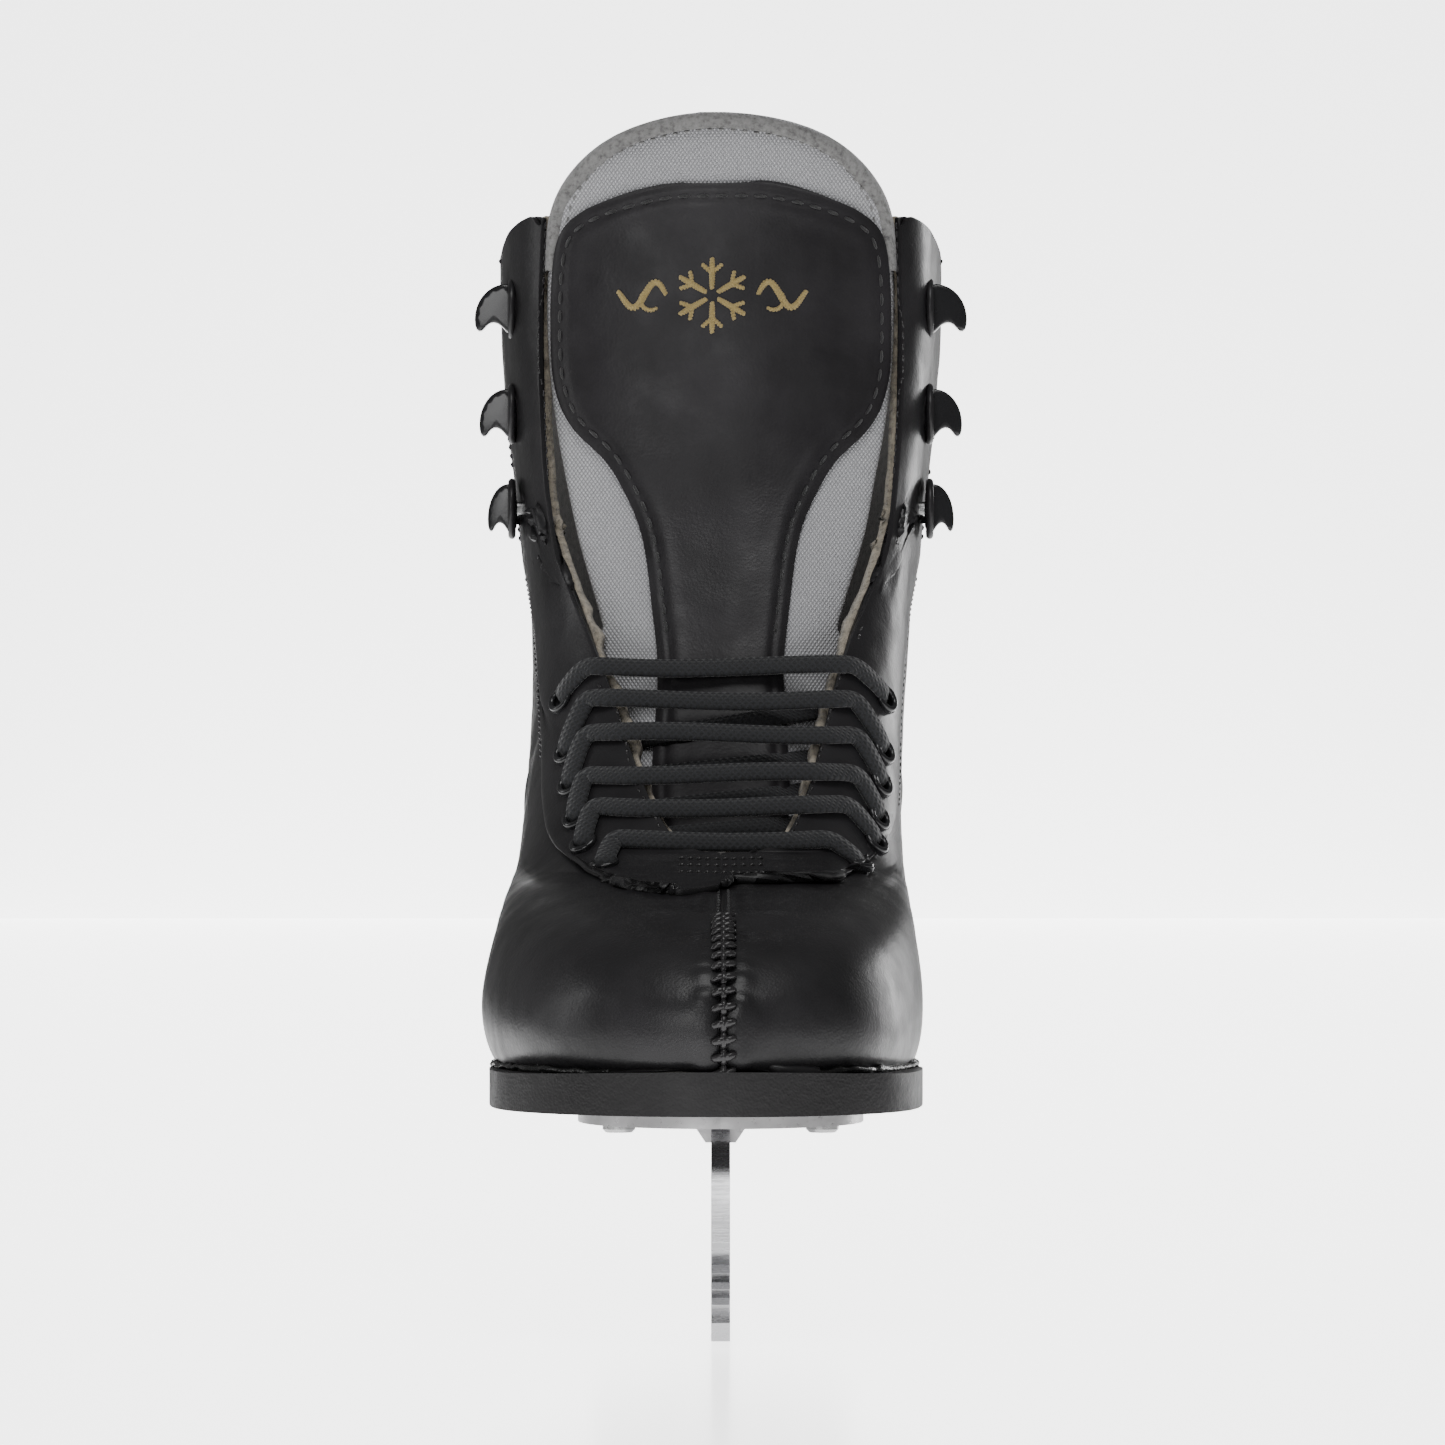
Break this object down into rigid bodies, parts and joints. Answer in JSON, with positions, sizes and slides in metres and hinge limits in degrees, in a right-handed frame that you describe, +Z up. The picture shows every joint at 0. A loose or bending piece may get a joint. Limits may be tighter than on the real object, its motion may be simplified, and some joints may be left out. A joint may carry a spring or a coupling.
{
  "type": "figure skate",
  "caption": "Right-foot figure skate: padded black ankle boot with lace hooks and mesh tongue, on a screwed-on steel blade with toe pick.",
  "frame": {"origin": "on the ice, under the middle of the skate's length and width", "axes": "+Z up; -Y towards the toes, +Y towards the heel; +X towards the wearer's inner (medial) side"},
  "size_m": [0.1149, 0.286, 0.272],
  "materials": {
    "boot_leather": "smooth semi-gloss black leather",
    "facing_leather": "black leather with top-stitched edge",
    "foam": "closed-cell foam",
    "stiffener": "thermoformed board",
    "suede": "grey suede lining",
    "tongue_mesh": "light grey spacer mesh",
    "tongue_cover": "stitched black leather",
    "lace": "flat woven polyester",
    "aglet": "crimped plastic",
    "black_hardware": "black enamelled",
    "rivet_steel": "plain steel",
    "insole_board": "leather board",
    "footbed": "textile-covered foam",
    "outsole": "black lacquered sole",
    "heel": "black stacked heel",
    "blade_steel": "polished blade steel",
    "plate_steel": "satin steel",
    "screws": "satin steel"
  },
  "bodies": {
    "boot": {"upper_medial": "boot_leather", "upper_lateral": "boot_leather", "throat_facing": "facing_leather", "backstay": "facing_leather", "collar_binding": "facing_leather", "toe_puff": "stiffener", "heel_counter": "stiffener", "quarter_padding": "foam", "lining": "suede", "eyelets": "black_hardware", "lace_hooks": "black_hardware", "hook_rivets": "rivet_steel", "lace": "lace", "aglets": "aglet", "tongue_pad_lower": "tongue_mesh", "tongue_cover_lower": "tongue_cover", "tongue_lining_lower": "suede", "shank": "rivet_steel", "insole_board": "insole_board", "footbed": "footbed", "outsole": "outsole", "heel_block": "heel", "heel_lift": "heel", "blade": "blade_steel", "sole_plate": "plate_steel", "heel_plate": "plate_steel", "sole_plate_screws": "screws", "heel_plate_screws": "screws"},
    "tongue": {"tongue_pad_upper": "tongue_mesh", "tongue_cover_upper": "tongue_cover", "tongue_lining_upper": "suede"}
  },
  "joints": [
    {"name": "tongue_flex", "type": "hinge", "parent": "boot", "child": "tongue", "pos_m": [0, 0, 0.151], "axis": [1, 0, 0], "range_deg": [0, 40], "stiffness_Nm_per_rad": 0.6}
  ]
}
